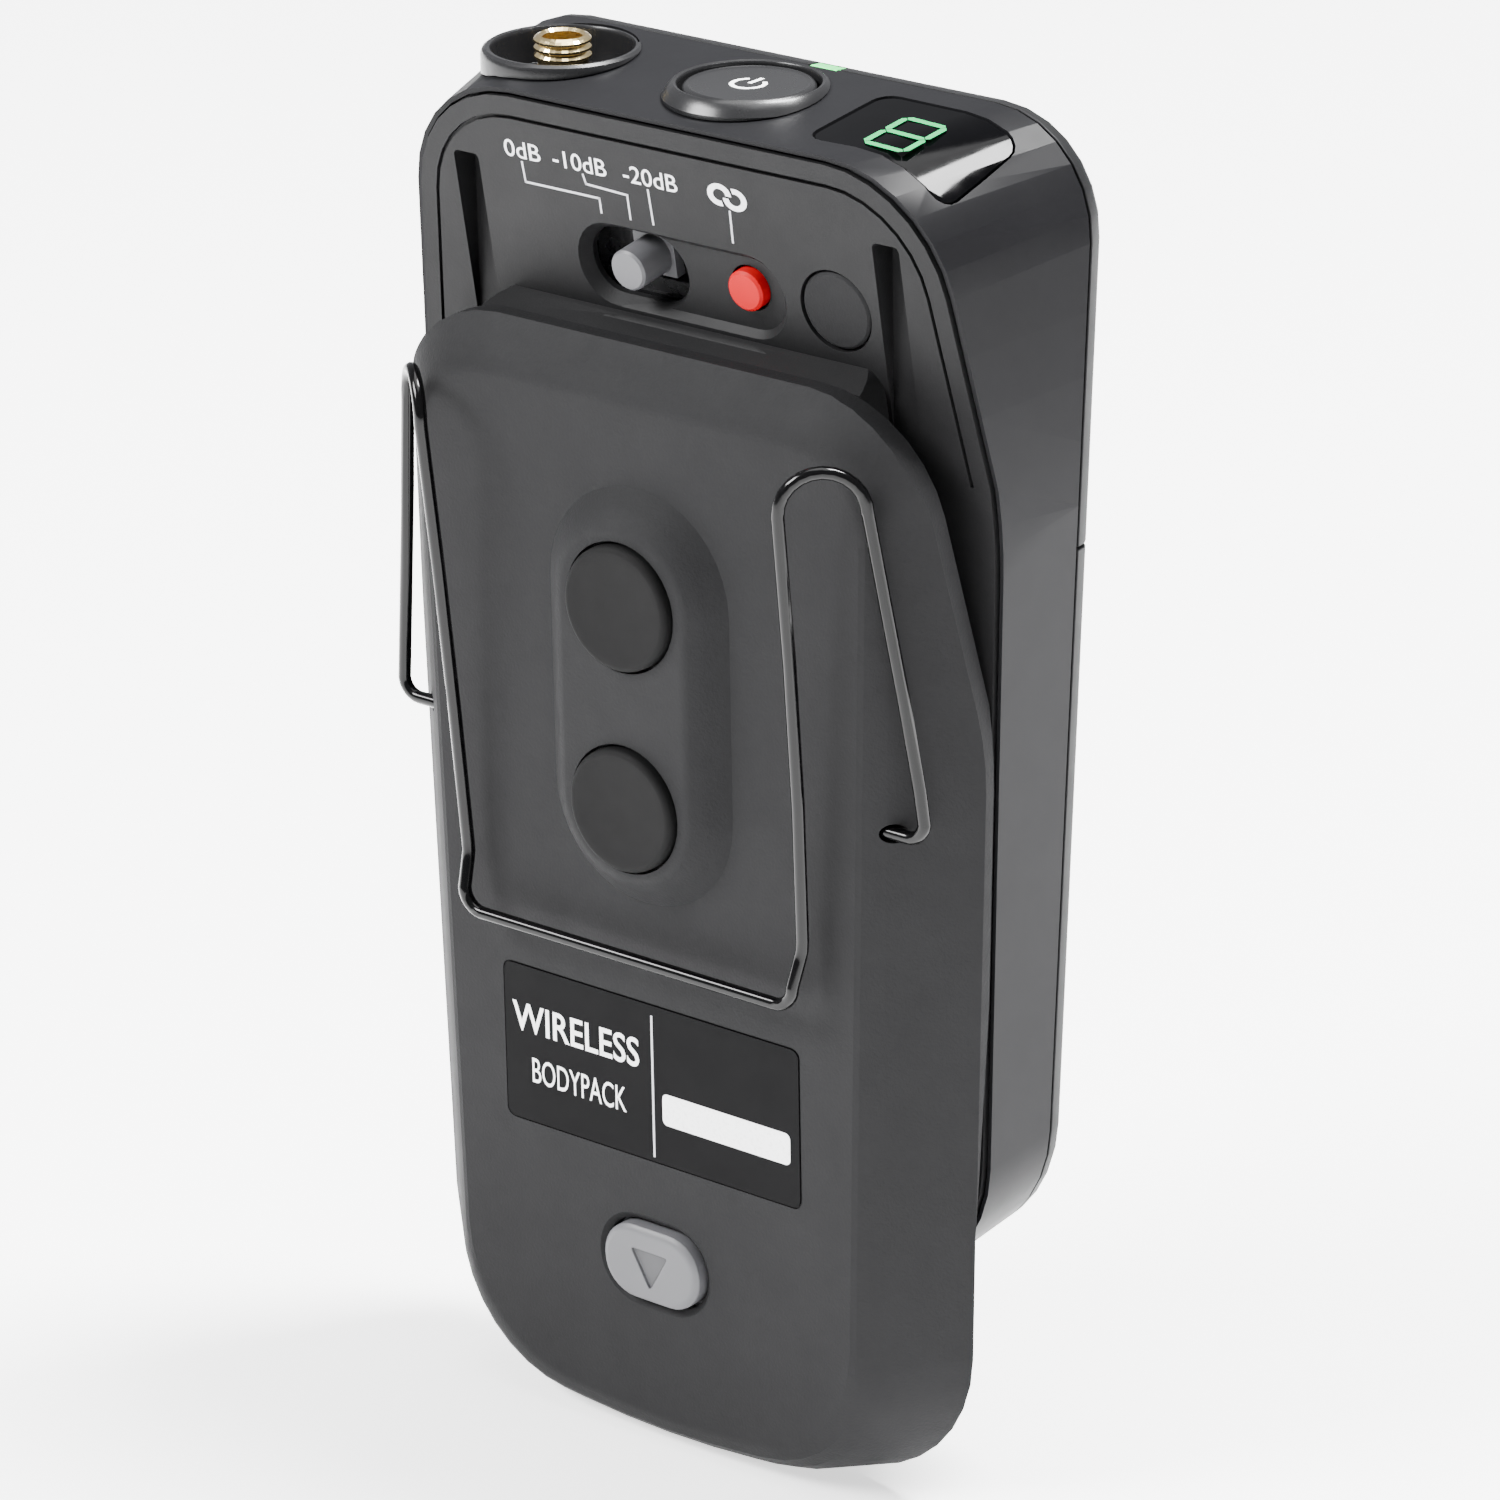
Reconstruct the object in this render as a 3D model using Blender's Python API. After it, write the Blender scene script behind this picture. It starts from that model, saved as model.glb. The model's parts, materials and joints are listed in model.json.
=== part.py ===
"""Wireless bodypack transmitter: sleeve body, battery chassis, sliding cover and wire belt clip.

Lengths are in millimetres until Blender gets them (MM turns them into metres).
Design frame: X across the body, Y from the cover's flat face towards the front, Z up,
with Z = 0 at the bottom of the closed body. The root empty carries the design frame to
the part's own frame, whose origin is the bottom centre of the part with its cover open.
"""

import math

import bpy
from mathutils import Quaternion, Vector

MM = 0.001
GAP = 0.3
ROUND = 40
FRAME_Y = 8.63

# Driving dimensions of the body
BODY_TOP_REAR = 102.3
TOP_SLOPE = 0.149
REAR_Y = 4.36
SIDE_HALF = 32.5
SIDE_REF_Z = 94.9
SIDE_TAPER = 0.0296
WALL = 1.5
SEAM_Y = 20.2
SEAM_REF_Z = 88.0
WEDGE = 0.03
FRONT_DEPTH = 2.4
FRONT_SPLIT_Z = 67.6
BOW_DROP = 2.3
BOW_SHARE = 0.42
CORNER_R_BOTTOM = 13.4
CORNER_R_FRONT = 10.0
CORNER_R_REAR = 11.5

# Parting surface between body and cover: inclined above the knee, upright below it
PART_SLOPE = 0.165
PART_TOP_Z = 101.9
PART_DEEP_Y = 8.7
KNEE_Z = PART_TOP_Z - (PART_DEEP_Y - REAR_Y) / PART_SLOPE
PANEL_TILT = math.atan(PART_SLOPE)
RIM_DEPTH = 1.1
RIM_GAP = 0.25
SLEEVE_LIP = 0.6
PART_KNEE_Z = 71.5
PART_KNEE_HALF = 31.4
PART_TOP_TAPER = 0.14
SIDE_SHARES = (0.17, 0.34, 0.51)  # extra outline points on a side, as shares of the way from knee to top
PART_BOTTOM_HALF = 29.35

# Battery cover, as closed; it stands OPEN lower in the rest pose
OPEN = 18.6
FACE_REF_Z = 73.5
FACE_TAPER = 0.026
COVER_FACE_HALF = 24.1
COVER_FACE_TOP = 98.55
COVER_TOP_SLOPE = 1.6
COVER_WALL = 1.5
COVER_EDGE_Y = 7.2
COVER_EDGE_Z = (27.0, 48.0)
PAD_Z = 71.6
PAD_HALF = (9.85, 18.95)
PAD_SLOPE_WIDTH = 3.0
PAD_RISE = 2.6
DISC_R = 5.6
DISC_ZS = (80.6, 62.2)
DISC_FACE_Y = -3.4
LABEL_SIZE = (33.2, 14.9)
LABEL_Z = 35.6
RELEASE_Z = 18.0
RELEASE_HALF = (5.4, 3.55)

# Belt clip: one bent wire that pivots in two holes of the cover
WIRE_R = 0.58
CLIP_AXIS_Y = 1.9
CLIP_AXIS_Z = 64.8

# Battery bay
CELL_R = 7.25
CELL_LENGTH = 50.2
CELL_X = 7.6
CELL_Y = 9.7
CELL_BOTTOM = 25.4
BAY_HALF = 15.3
BAY_Z = (21.5, 79.6)
BAY_FLOOR_Y = 17.2
PLATFORM_HALF = 20.9
PLATFORM_TOP = 84.4
PLATFORM_BOTTOM = 19.9
PLATFORM_Y = 4.4
GROOVE_X = 22.7
GROOVE_HALF = 1.4
GROOVE_FLOOR_Y = 8.1
GROOVE_TOP = 96.2

# Controls on the inclined rear panel and on the top
PANEL_Z = 89.1
KNOB_X = -4.8
KNOB_R = 1.85
SLOT_CENTRE = (-5.3, -0.5)
SLOT_HALF = (5.3, 3.1)
PAIR_X = 7.1
PAIR_R = 1.85
PLUG_X = 16.6
PLUG_R = 3.5
POWER_X, POWER_Y, POWER_TOP = 1.95, 13.6, 104.75
POWER_BARREL_R = 6.5
JACK_X, JACK_Y, JACK_TOP = -18.5, 13.5, 104.5
JACK_BARREL_R = 6.45
LED_X = (3.0, 5.8)
LED_Y = 20.45
WINDOW = ((12.8, 7.2), (27.0, 7.8), (27.6, 17.8), (12.8, 18.1))
BOARD_Y = (18.35, 19.15)
SCREW_PLACES = ((-25.5, 12.5), (25.5, 12.5), (-26.6, 60.0), (26.6, 60.0))


def clear_scene():
    for obj in list(bpy.data.objects):
        bpy.data.objects.remove(obj, do_unlink=True)


def material(name, colour, roughness, metallic=0.0):
    made = bpy.data.materials.new(name)
    made.use_nodes = True
    shader = made.node_tree.nodes["Principled BSDF"]
    shader.inputs["Base Color"].default_value = (*colour, 1.0)
    shader.inputs["Roughness"].default_value = roughness
    shader.inputs["Metallic"].default_value = metallic
    made.diffuse_color = (*colour, 1.0)
    return made


def empty(name, location, parent=None, tilt=0.0):
    obj = bpy.data.objects.new(name, None)
    obj.location = Vector(location) * MM
    obj.rotation_euler = (tilt, 0.0, 0.0)
    obj.parent = parent
    bpy.context.collection.objects.link(obj)
    return obj


def add_mesh(name, points, faces, parent, finish=None, origin=(0, 0, 0)):
    """A mesh object from points in millimetres, with its own origin in its parent's frame."""
    mesh = bpy.data.meshes.new(name)
    shift = Vector(origin)
    mesh.from_pydata([(Vector(p) - shift) * MM for p in points], [], faces)
    mesh.shade_smooth()
    mesh.set_sharp_from_angle(angle=math.radians(32))
    obj = bpy.data.objects.new(name, mesh)
    obj.location = shift * MM
    obj.parent = parent
    if finish:
        mesh.materials.append(finish)
    bpy.context.collection.objects.link(obj)
    return obj


def cut(target, cutter, operation="DIFFERENCE", solver="EXACT"):
    """Adds a Boolean of the target with a cutter, which is left out of the part."""
    cutter.hide_render = True
    cutter.display_type = "WIRE"
    modifier = target.modifiers.new(cutter.name, "BOOLEAN")
    modifier.object = cutter
    modifier.operation = operation
    modifier.solver = solver


def stitched(rings):
    """Points and faces of a closed loft through rings of equal length, capped at both ends."""
    count = len(rings[0])
    points = [p for ring in rings for p in ring]
    faces = []
    for k in range(len(rings) - 1):
        for i in range(count):
            j = (i + 1) % count
            faces.append((k * count + i, k * count + j, (k + 1) * count + j, (k + 1) * count + i))
    faces.append(tuple(reversed(range(count))))
    faces.append(tuple((len(rings) - 1) * count + i for i in range(count)))
    return points, faces


def rounded(corners, steps=6):
    """A 2-D outline from (u, v, radius) corners, counter-clockwise, each rounded by an arc.
    A corner may give its own number of steps as a fourth value."""
    outline = []
    for k, (u, v, radius, *own) in enumerate(corners):
        count = own[0] if own else steps
        here = Vector((u, v))
        back = (Vector(corners[k - 1][:2]) - here).normalized()
        ahead = (Vector(corners[(k + 1) % len(corners)][:2]) - here).normalized()
        if radius <= 0:
            outline.append(here)
            continue
        half = back.angle(ahead) / 2
        centre = here + (back + ahead).normalized() * (radius / math.sin(half))
        start = here + back * (radius / math.tan(half)) - centre
        sweep = math.pi - 2 * half
        for s in range(count + 1):
            turn = sweep * s / count
            spun = Vector((start.x * math.cos(turn) - start.y * math.sin(turn),
                           start.x * math.sin(turn) + start.y * math.cos(turn)))
            outline.append(centre + spun)
    return outline


def rectangle(u_low, v_low, u_high, v_high, radius=0.0, steps=4):
    corners = [(u_low, v_low, radius), (u_high, v_low, radius),
               (u_high, v_high, radius), (u_low, v_high, radius)]
    return rounded(corners, steps)


def prism(name, outline, low, high, parent, finish=None, axis="y", origin=(0, 0, 0)):
    """An outline extruded along an axis. The outline is (x, z) for y, (y, z) for x, (x, y) for z."""
    place = {"y": lambda p, h: (p[0], h, p[1]),
             "x": lambda p, h: (h, p[0], p[1]),
             "z": lambda p, h: (p[0], p[1], h)}[axis]
    ends = (high, low) if axis != "y" else (low, high)
    rings = [[place(p, h) for p in outline] for h in reversed(ends)]
    points, faces = stitched(rings)
    return add_mesh(name, points, faces, parent, finish, origin)


def box(name, low, high, parent, finish=None, radius=0.0, axis="y", origin=(0, 0, 0)):
    pick = {"y": (0, 2, 1), "x": (1, 2, 0), "z": (0, 1, 2)}[axis]
    outline = rectangle(low[pick[0]], low[pick[1]], high[pick[0]], high[pick[1]], radius)
    return prism(name, outline, low[pick[2]], high[pick[2]], parent, finish, axis, origin)


def turned(name, profile, centre, parent, finish=None, axis="z", sides=ROUND, origin=(0, 0, 0)):
    """A solid of revolution. The profile is a closed loop of (radius, height), run so that it
    goes up the outer side; two zero radii make its ends close on the axis."""
    loop = [(r, h) for r, h in profile]
    points = []
    index = []
    for r, h in loop:
        if r == 0:
            index.append([len(points)] * sides)
            points.append((0.0, 0.0, h))
            continue
        index.append([len(points) + s for s in range(sides)])
        for s in range(sides):
            angle = 2 * math.pi * s / sides
            points.append((r * math.cos(angle), r * math.sin(angle), h))
    faces = []
    for k in range(len(loop)):
        n = (k + 1) % len(loop)
        for s in range(sides):
            t = (s + 1) % sides
            corners = [index[k][s], index[k][t], index[n][t], index[n][s]]
            kept = [c for i, c in enumerate(corners) if c != corners[i - 1]]
            if len(set(kept)) > 2:
                faces.append(tuple(kept))
    if axis == "y":
        points = [(p[0], p[2], -p[1]) for p in points]
    if axis == "x":
        points = [(p[2], p[0], p[1]) for p in points]
    placed = [tuple(Vector(p) + Vector(centre)) for p in points]
    return add_mesh(name, placed, faces, parent, finish, origin)


def cylinder(name, radius, low, high, centre, parent, finish=None, axis="z", sides=ROUND, edge=0.0,
             origin=(0, 0, 0)):
    """A cylinder along an axis through centre, with small chamfers of size edge at both ends."""
    if edge:
        profile = [(0, low), (radius - edge, low), (radius, low + edge), (radius, high - edge),
                   (radius - edge, high), (0, high)]
    else:
        profile = [(0, low), (radius, low), (radius, high), (0, high)]
    return turned(name, profile, centre, parent, finish, axis, sides, origin)


def wire(name, points, radius, parent, finish, origin=(0, 0, 0), resolution=2):
    """A round bar along points, as a curve with filled caps."""
    curve = bpy.data.curves.new(name, "CURVE")
    curve.dimensions = "3D"
    curve.bevel_depth = radius * MM
    curve.bevel_resolution = resolution
    curve.use_fill_caps = True
    spline = curve.splines.new("POLY")
    spline.points.add(len(points) - 1)
    for slot, p in zip(spline.points, points):
        slot.co = (*((Vector(p) - Vector(origin)) * MM), 1.0)
    curve.materials.append(finish)
    obj = bpy.data.objects.new(name, curve)
    obj.location = Vector(origin) * MM
    obj.parent = parent
    bpy.context.collection.objects.link(obj)
    return obj


# ---------------------------------------------------------------- shared outlines

def side_half(z):
    return SIDE_HALF + SIDE_TAPER * (z - SIDE_REF_Z)


def top_z(y):
    return BODY_TOP_REAR + TOP_SLOPE * (y - REAR_Y)


def shell_outline(half_bottom, side_points, top, bottom, r_top, r_bottom):
    """An outline in XZ with a slightly bowed bottom; side_points are (half width, z, radius) going up."""
    lowest = bottom - BOW_SHARE / 2 * BOW_DROP
    bow_radius = BOW_SHARE * half_bottom ** 2 / BOW_DROP
    knee = Vector(side_points[0][:2])
    shoulder = Vector((side_points[1][0], top))
    between = [(*knee.lerp(shoulder, share), 0.0) for share in SIDE_SHARES]
    right = [(half_bottom, lowest + BOW_DROP, r_bottom, 8), (*side_points[0], 3), *between,
             (*shoulder, r_top, 7)]
    left = [(-x, *others) for x, *others in reversed(right)]
    return rounded([(0.0, lowest, bow_radius, 4), *right, *left])


def tapered_outline(half, taper, ref_z, top, bottom, r_top, r_bottom):
    """An outline whose sides converge downwards at an even rate."""
    low = half + taper * (bottom - ref_z)
    high = half + taper * (top - ref_z)
    return shell_outline(low, [(half, ref_z, 60.0), (high, top)], top, bottom, r_top, r_bottom)


def parting_outline(inset=0.0):
    """Where the cover meets the body: the sides draw in above a knee, with the inclined surface."""
    top = BODY_TOP_REAR - inset
    top_half = PART_KNEE_HALF - PART_TOP_TAPER * (top - PART_KNEE_Z) - inset
    sides = [(PART_KNEE_HALF - inset, PART_KNEE_Z, 45.0), (top_half, top)]
    return shell_outline(PART_BOTTOM_HALF - inset, sides, top, inset, CORNER_R_REAR - inset,
                         CORNER_R_BOTTOM - inset)


def body_rings(inset=0.0):
    """Sections of the body's outer skin, from behind the parting surface to the front face."""
    rear = parting_outline(inset - SLEEVE_LIP)
    rings = [[(p[0], -4.0, p[1]) for p in rear], [(p[0], parting_y(p[1]), p[1]) for p in rear]]
    for depth, shrink in ((0.0, 0.0), (1.2, 0.12), (1.75, 0.42), (2.15, 0.95), (FRONT_DEPTH, 1.8)):
        edge = shrink + inset
        outline = tapered_outline(side_half(PART_KNEE_Z) - edge, SIDE_TAPER, PART_KNEE_Z,
                                  top_z(SEAM_Y) - edge, 0.3 + edge, CORNER_R_FRONT - edge,
                                  CORNER_R_BOTTOM - edge)
        rings.append([(p[0], seam_y(p[1]) + depth - (inset if depth else 0.0), p[1]) for p in outline])
    return rings


def seam_y(z):
    return SEAM_Y - WEDGE * (SEAM_REF_Z - z)


def body_solid(name, parent, inset=0.0, finish=None):
    """The body's outer skin as one closed loft; the rings run from the rear to the front."""
    points, faces = stitched(body_rings(inset)[::-1])
    return add_mesh(name, points, faces, parent, finish)


def parting_y(z):
    return min(REAR_Y + PART_SLOPE * (PART_TOP_Z - z), PART_DEEP_Y)


def parting_cutter(name, offset, keep, parent):
    """A block on one side of the parting surface moved by offset along Y; keep is what stays."""
    line = [(PART_DEEP_Y + offset, -30.0), (PART_DEEP_Y + offset, KNEE_Z),
            (REAR_Y + PART_SLOPE * (PART_TOP_Z - 130.0) + offset, 130.0)]
    far = -30.0 if keep == "front" else 60.0
    outline = [(far, -30.0), *line, (far, 130.0)]
    if keep == "rear":
        outline = outline[::-1]
    return prism(name, outline, -50.0, 50.0, parent, axis="x")


def seam_cutter(name, offset, keep, parent):
    """A block on one side of the front seam, which leans back towards the bottom."""
    far = 60.0 if keep == "rear" else -30.0
    outline = [(seam_y(-30.0) + offset, -30.0), (far, -30.0), (far, 130.0), (seam_y(130.0) + offset, 130.0)]
    if keep == "front":
        outline = outline[::-1]
    return prism(name, outline, -50.0, 50.0, parent, axis="x")


# ---------------------------------------------------------------- body shells

def make_side_sleeve(frame, finish):
    sleeve = body_solid("side_sleeve", frame, 0.0, finish)
    cut(sleeve, parting_cutter("sleeve_rear_trim", 0.35, "front", frame))
    cut(sleeve, seam_cutter("sleeve_front_trim", -0.15, "rear", frame))
    points, faces = stitched(bore_rings()[::-1])
    cut(sleeve, add_mesh("sleeve_bore", points, faces, frame))
    mouth = prism("sleeve_mouth", parting_outline(-RIM_GAP), -5.0, 12.0, frame)
    cut(mouth, parting_cutter("mouth_depth", RIM_DEPTH + 0.3, "rear", frame))
    cut(sleeve, mouth)
    cut(sleeve, cylinder("power_hole", POWER_BARREL_R + 0.2, 96.0, 112.0, (POWER_X, POWER_Y, 0), frame))
    cut(sleeve, cylinder("jack_hole", JACK_BARREL_R + 0.2, 96.0, 112.0, (JACK_X, JACK_Y, 0), frame))
    cut(sleeve, window_prism("window_hole", 0.0, frame))
    cut(sleeve, box("light_notch", (LED_X[0] - 0.15, LED_Y - 0.15, 100.0), (LED_X[1] + 0.15, 30.0, 110.0),
                    frame, axis="z"))
    return sleeve


def bore_rings():
    """The sleeve's inside, run on past both ends so that it cuts right through."""
    rings = body_rings(WALL)[:3]
    first = [(p[0], p[1] - 3.0, p[2]) for p in rings[0]]
    last = [(p[0], p[1] + 6.0, p[2]) for p in rings[-1]]
    return [first, *rings[1:], last]


def window_prism(name, shrink, frame, low=90.0, high=112.0):
    middle = Vector((20.0, 12.7))
    corners = []
    for x, y in WINDOW:
        inward = (middle - Vector((x, y))).normalized() * shrink * math.sqrt(2)
        corners.append((x + inward.x, y + inward.y, 1.7 - shrink))
    return prism(name, rounded(corners, 4), low, high, frame, axis="z")


def make_front_shell(frame, finish, name, low, high):
    shell = body_solid(name, frame, 0.0, finish)
    cut(shell, seam_cutter(name + "_seam", 0.15, "front", frame))
    points, faces = stitched(front_hollow_rings()[::-1])
    cut(shell, add_mesh(name + "_hollow", points, faces, frame))
    cut(shell, box(name + "_span", (-50, -20, low), (50, 60, high), frame, axis="z"), "INTERSECT")
    return shell


def front_hollow_rings():
    rings = body_rings(1.6)[2:]
    first = [(p[0], p[1] - 8.0, p[2]) for p in rings[0]]
    return [first, *rings]


def make_front_panels(frame, finish, radio_finish):
    make_front_shell(frame, finish, "front_panel", -5.0, FRONT_SPLIT_Z - 0.15)
    antenna_cover = make_front_shell(frame, radio_finish, "antenna_cover", FRONT_SPLIT_Z + 0.15, 130.0)
    cut(antenna_cover, box("cover_light_notch", (LED_X[0] - 0.15, 10.0, 101.0),
                           (LED_X[1] + 0.15, 22.35, 110.0), frame, axis="z"))


def make_status_light(frame, finish):
    light = body_solid("status_light", frame, 0.05, finish)
    cut(light, box("light_span", (LED_X[0], LED_Y, 102.2), (LED_X[1], 22.2, 110.0), frame, axis="z"),
        "INTERSECT")


# ---------------------------------------------------------------- rear chassis

def make_rear_chassis(frame, panel, finish):
    chassis = prism("rear_chassis", parting_outline(0.0), -5.0, 11.2, frame, finish)
    cut(chassis, parting_cutter("chassis_rear_trim", 0.0, "front", frame))
    inner = prism("chassis_inside", parting_outline(3.7), -5.0, 20.0, frame)
    cut(inner, parting_cutter("panel_thickness", 1.7, "front", frame))
    cut(chassis, inner)
    shoulder = prism("shoulder_outside", parting_outline(-6.0), -5.0, 20.0, frame)
    cut(shoulder, prism("shoulder_inside", parting_outline(2.1), -6.0, 21.0, frame))
    cut(shoulder, parting_cutter("rim_thickness", RIM_DEPTH, "front", frame))
    cut(chassis, shoulder)
    cut(chassis, box("top_clearance", (-45, 6.9, 92.0), (45, 37, 118), frame), solver="MANIFOLD")
    cut(chassis, platform_block(frame), "UNION")
    for side in (-1, 1):
        name = "right" if side > 0 else "left"
        low, high = sorted((side * (GROOVE_X - 2.4), side * (GROOVE_X + 2.4)))
        backing = box("groove_backing_" + name, (low, 6.6, 70.0), (high, 9.6, GROOVE_TOP + 1.4), frame)
        cut(backing, parting_cutter("groove_backing_trim_" + name, 0.6, "front", frame))
        cut(chassis, backing, "UNION")
        groove = box("groove_" + name, (side * GROOVE_X - GROOVE_HALF, -5, 20.0),
                     (side * GROOVE_X + GROOVE_HALF, GROOVE_FLOOR_Y, GROOVE_TOP), frame, radius=0.5)
        cut(chassis, groove)
    cut(chassis, box("battery_bay", (-BAY_HALF, -5.0, BAY_Z[0]), (BAY_HALF, BAY_FLOOR_Y, BAY_Z[1]),
                     frame, radius=1.0))
    cut(chassis, box("release_notch", (-4.6, -5.0, 5.0), (4.6, 8.6, 23.5), frame))
    cut_panel_line(chassis, frame)
    cut_controls(chassis, panel)
    for k, (x, z) in enumerate(SCREW_PLACES):
        cut(chassis, cylinder(f"screw_seat_{k + 1}", 2.4, 0.0, 9.6, (x, 0, z), frame, axis="y", sides=20))
        cut(chassis, cylinder(f"screw_hole_{k + 1}", 1.3, 0.0, 14.0, (x, 0, z), frame, axis="y", sides=20))
    return chassis


def platform_block(frame):
    """The raised battery housing: a chamfered ledge at its top, a tub behind it for the cells."""
    chamfer = 1.3
    side = [(BAY_FLOOR_Y + 0.9, PLATFORM_BOTTOM), (BAY_FLOOR_Y + 0.9, 81.2), (9.0, 81.2),
            (9.0, PLATFORM_TOP + 0.1), (7.2, PLATFORM_TOP), (PLATFORM_Y, PLATFORM_TOP - chamfer),
            (PLATFORM_Y, PLATFORM_BOTTOM)]
    block = prism("battery_housing", side, -PLATFORM_HALF, PLATFORM_HALF, frame, axis="x")
    across = [(-PLATFORM_HALF, PLATFORM_BOTTOM, 2.6), (PLATFORM_HALF, PLATFORM_BOTTOM, 2.6),
              (PLATFORM_HALF, PLATFORM_TOP + 0.2, 2.6), (-PLATFORM_HALF, PLATFORM_TOP + 0.2, 2.6)]
    cut(block, prism("housing_corners", rounded(across), 0.0, 30.0, frame), "INTERSECT")
    for side_sign in (-1, 1):
        name = "right" if side_sign > 0 else "left"
        low, high = sorted((side_sign * (BAY_HALF + 1.5), side_sign * 30.0))
        cut(block, box("tub_side_" + name, (low, 10.9, 0.0), (high, 30.0, 100.0), frame))
    return block


def cut_panel_line(chassis, frame):
    """The fine line between the chassis rim and the inclined panel."""
    line = prism("panel_line", parting_outline(1.7), -5.0, 12.0, frame)
    cut(line, prism("panel_line_inside", parting_outline(2.05), -6.0, 13.0, frame))
    cut(line, parting_cutter("panel_line_depth", 0.4, "rear", frame))
    cut(line, box("panel_line_span", (-50, -10, KNEE_Z), (50, 20, 120), frame), "INTERSECT")
    cut(chassis, line)


def tapered_slot(name, centre, half, depth, flare, parent, low=-3.0):
    """A stadium-shaped cutter about centre (x, z) whose walls lean out by flare over depth."""
    x, z = centre
    rings = []
    for y, grow in ((low, flare * (1 - low / depth)), (depth, 0.0)):
        u, v = half[0] + grow, half[1] + grow
        outline = rectangle(x - u, z - v, x + u, z + v, v * 0.98, 7)
        rings.append([(p[0], y, p[1]) for p in outline])
    points, faces = stitched(rings[::-1])
    return add_mesh(name, points, faces, parent)


def cut_controls(chassis, panel):
    cut(chassis, tapered_slot("control_pocket", (0.3, -0.5), (10.4, 3.3), 0.6, 0.6, panel, -1.0))
    cut(chassis, tapered_slot("slot_countersink", SLOT_CENTRE, SLOT_HALF, 1.1, 0.75, panel, -1.0))
    cut(chassis, tapered_slot("slot_opening", SLOT_CENTRE, SLOT_HALF, 6.0, 0.01, panel))
    cut(chassis, cylinder("pair_hole", PAIR_R + 0.25, -3, 6, (PAIR_X, 0, 0), panel, axis="y", sides=32))
    cut(chassis, cylinder("plug_hole", PLUG_R + 0.22, -3, 1.35, (PLUG_X, 0, 0), panel, axis="y"))


# ---------------------------------------------------------------- controls

def make_controls(frame, panel, finishes):
    knob = cylinder("attenuator_knob", KNOB_R, -1.35, 3.0, (KNOB_X, 0, 0), panel, finishes["grey_plastic"],
                    axis="y", sides=36, edge=0.22, origin=(KNOB_X, 0, 0))
    cut(knob, box("knob_slider", (KNOB_X - 2.2, 2.4, -1.9), (KNOB_X + 2.2, 3.5, 1.9), panel), "UNION")
    x = SLOT_CENTRE[0]
    switch = box("attenuator_switch", (x - 6.7, 2.2, -4.3), (x + 6.7, 5.6, 4.3), panel,
                 finishes["black_plastic"], radius=0.5)
    cut(switch, box("switch_track", (x - 5.6, 0.0, -2.25), (x + 5.6, 3.9, 2.25), panel))
    cut(switch, box("switch_mouth", (x - 5.6, 0.0, -3.6), (x + 5.6, 2.6, 2.6), panel))
    turned("pair_button", [(0, -0.35), (1.6, -0.35), (PAIR_R, -0.1), (PAIR_R, 2.3), (2.7, 2.3),
                           (2.7, 2.9), (0.8, 2.9), (0.8, 3.6), (0, 3.6)],
           (PAIR_X, 0, 0), panel, finishes["red_plastic"], axis="y", sides=32, origin=(PAIR_X, 0, 0))
    box("pair_switch", (PAIR_X - 2.2, 4.3, -2.2), (PAIR_X + 2.2, 5.6, 2.2), panel, finishes["steel"], 0.4)
    box("control_board", (-13.5, 5.9, -5.2), (12.0, 6.7, 5.2), panel, finishes["board"], 0.8)
    turned("panel_plug", [(0, 0.02), (PLUG_R - 0.25, 0.02), (PLUG_R, 0.2), (PLUG_R, 1.05), (0, 1.05)],
           (PLUG_X, 0, 0), panel, finishes["cover_plastic"], axis="y")


def flange_seat(name, centre, barrel_r, frame):
    """The sleeve's outer skin, a little grown, outside a barrel: what a flange has to clear."""
    seat = body_solid(name, frame, -0.12)
    cut(seat, cylinder(name + "_core", barrel_r, 80.0, 120.0, centre, frame))
    return seat


def make_power_button(frame, finishes):
    centre = (POWER_X, POWER_Y, 0)
    top = POWER_TOP
    ring = [(6.05, 100.6), (POWER_BARREL_R, 100.6), (POWER_BARREL_R, 101.9), (7.45, 101.9),
            (7.45, top - 1.15), (7.1, top - 0.65), (6.75, top - 0.2), (6.45, top - 0.02),
            (6.2, top - 0.1), (6.05, top - 0.35)]
    bezel = turned("power_button_bezel", ring, centre, frame, finishes["black_plastic"])
    cut(bezel, flange_seat("bezel_seat", centre, POWER_BARREL_R, frame))
    cap = [(0, 99.9), (1.2, 99.9), (1.4, 100.2), (1.4, 102.4), (5.7, 102.4), (5.7, top - 0.55),
           (5.5, top - 0.3), (5.2, top - 0.2), (4.9, top - 0.32), (0, top - 0.38)]
    turned("power_button", cap, centre, frame, finishes["black_plastic"],
           origin=(POWER_X, POWER_Y, top))
    box("power_switch", (POWER_X - 2.6, POWER_Y - 2.6, 97.6), (POWER_X + 2.6, POWER_Y + 2.6, 98.9), frame,
        finishes["steel"], 0.4, axis="z")


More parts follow.
